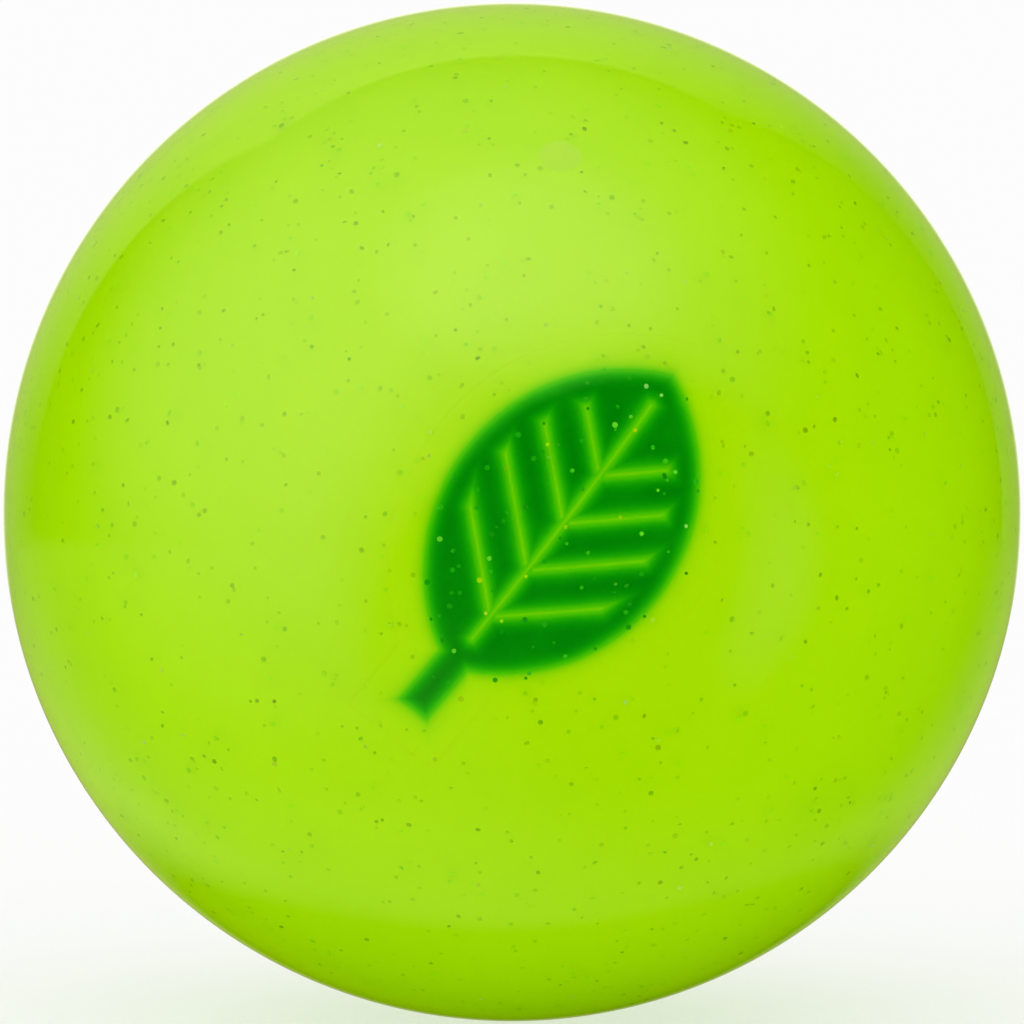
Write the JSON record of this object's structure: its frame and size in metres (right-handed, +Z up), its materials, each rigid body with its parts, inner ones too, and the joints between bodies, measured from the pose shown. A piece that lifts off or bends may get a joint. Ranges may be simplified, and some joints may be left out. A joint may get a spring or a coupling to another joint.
{
  "type": "ground golf ball",
  "caption": "Hard ball for ground golf: a hollow welded core with a printed mark, sealed in a translucent lime cover with glitter moulded in.",
  "frame": {"origin": "centre of the ball", "axes": "+Z up; the printed mark faces -Y; the axis of the core and its seam runs along Y"},
  "size_m": [0.06, 0.06, 0.06],
  "materials": {
    "core_resin": "satin",
    "green_ink": "satin",
    "glitter": "polished",
    "cover_resin": "polished"
  },
  "bodies": {
    "root": {"core_front": "core_resin", "core_rear": "core_resin", "printed_mark": "green_ink", "glitter_flakes": "glitter", "cover": "cover_resin"}
  },
  "joints": []
}
